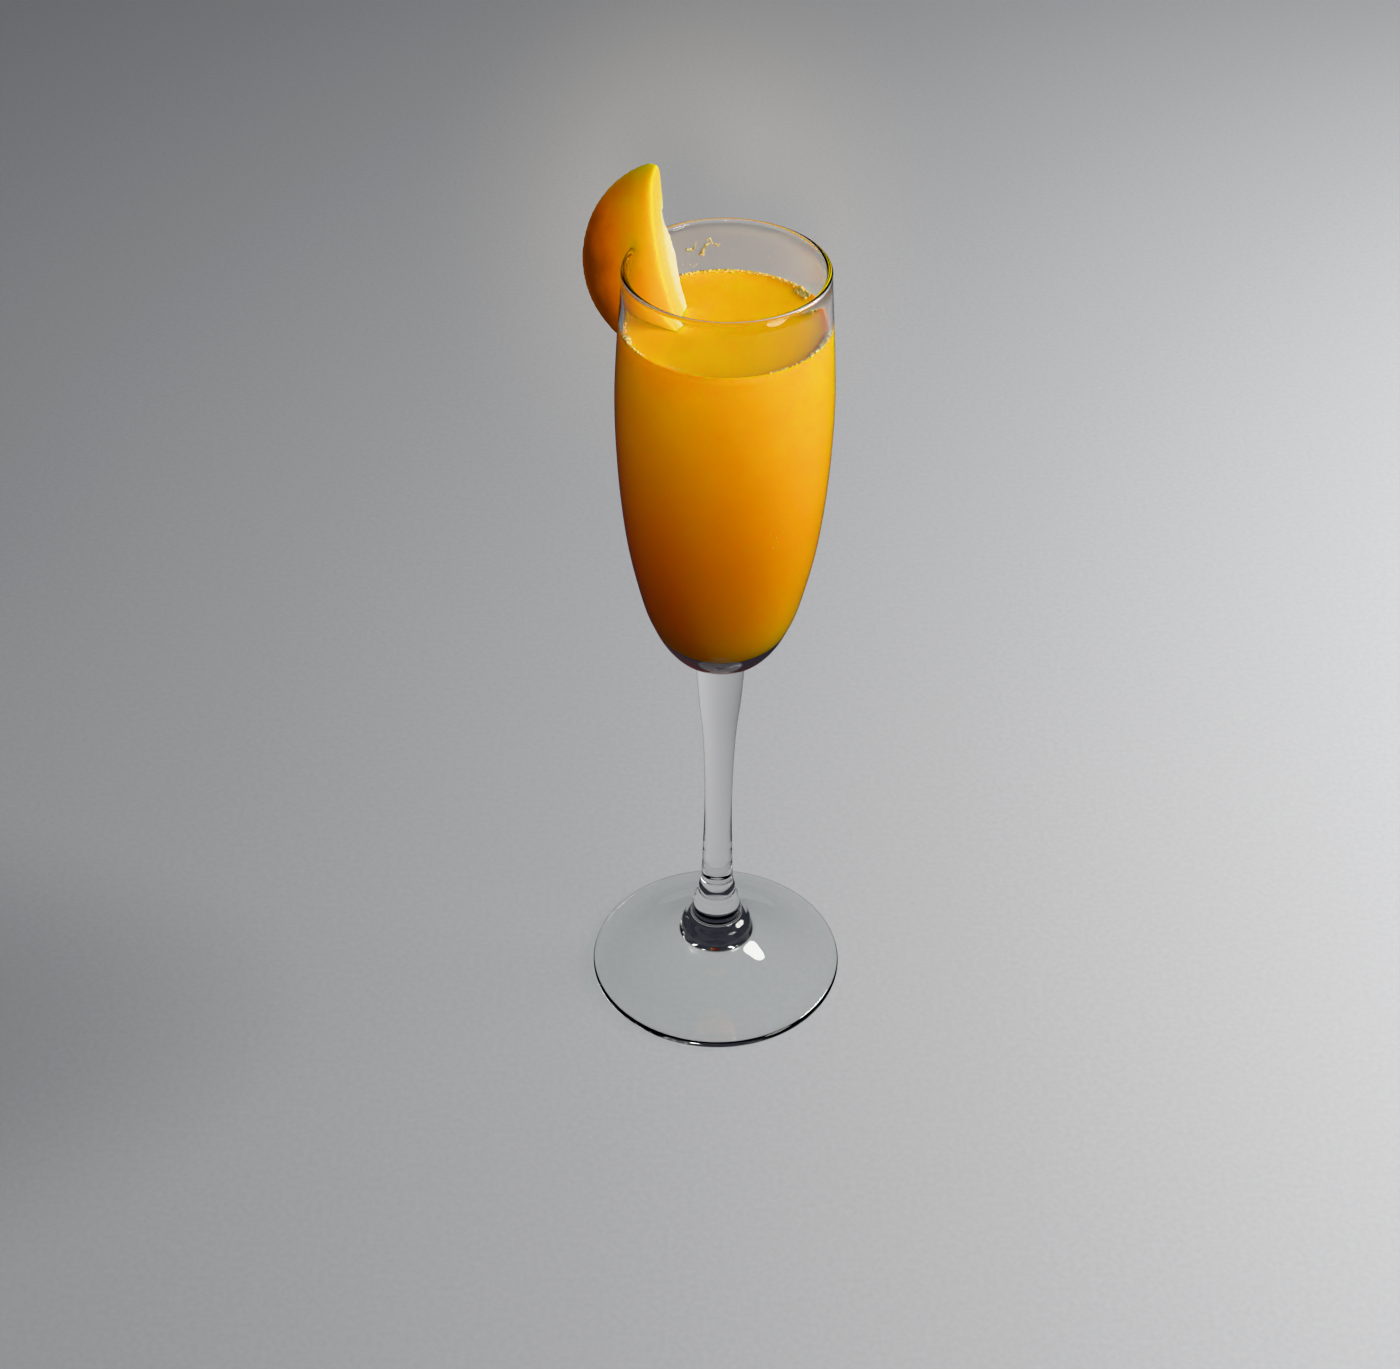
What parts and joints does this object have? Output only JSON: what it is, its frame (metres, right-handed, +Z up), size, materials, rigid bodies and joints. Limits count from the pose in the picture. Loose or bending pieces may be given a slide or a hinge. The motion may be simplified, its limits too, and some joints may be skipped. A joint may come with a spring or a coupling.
{
  "type": "bellini",
  "caption": "Peach bellini cocktail filling a tall stemmed flute glass, with a peach wedge slotted over the rim and dipping into the drink.",
  "frame": {"origin": "centre of the foot, on the surface that the glass stands on", "axes": "+Z up along the glass's axis, +Y away from the front, +X to the right as seen from the front; the wedge leans out to -X and +Y"},
  "size_m": [0.0666, 0.0666, 0.2269],
  "materials": {
    "clear_glass": "clear, polished",
    "peach_juice": "cloudy orange drink, wet surface",
    "peach_flesh": "ripe peach skin and pale moist flesh"
  },
  "bodies": {
    "root": {"flute_glass": "clear_glass", "drink": "peach_juice", "peach_wedge": "peach_flesh"}
  },
  "joints": []
}
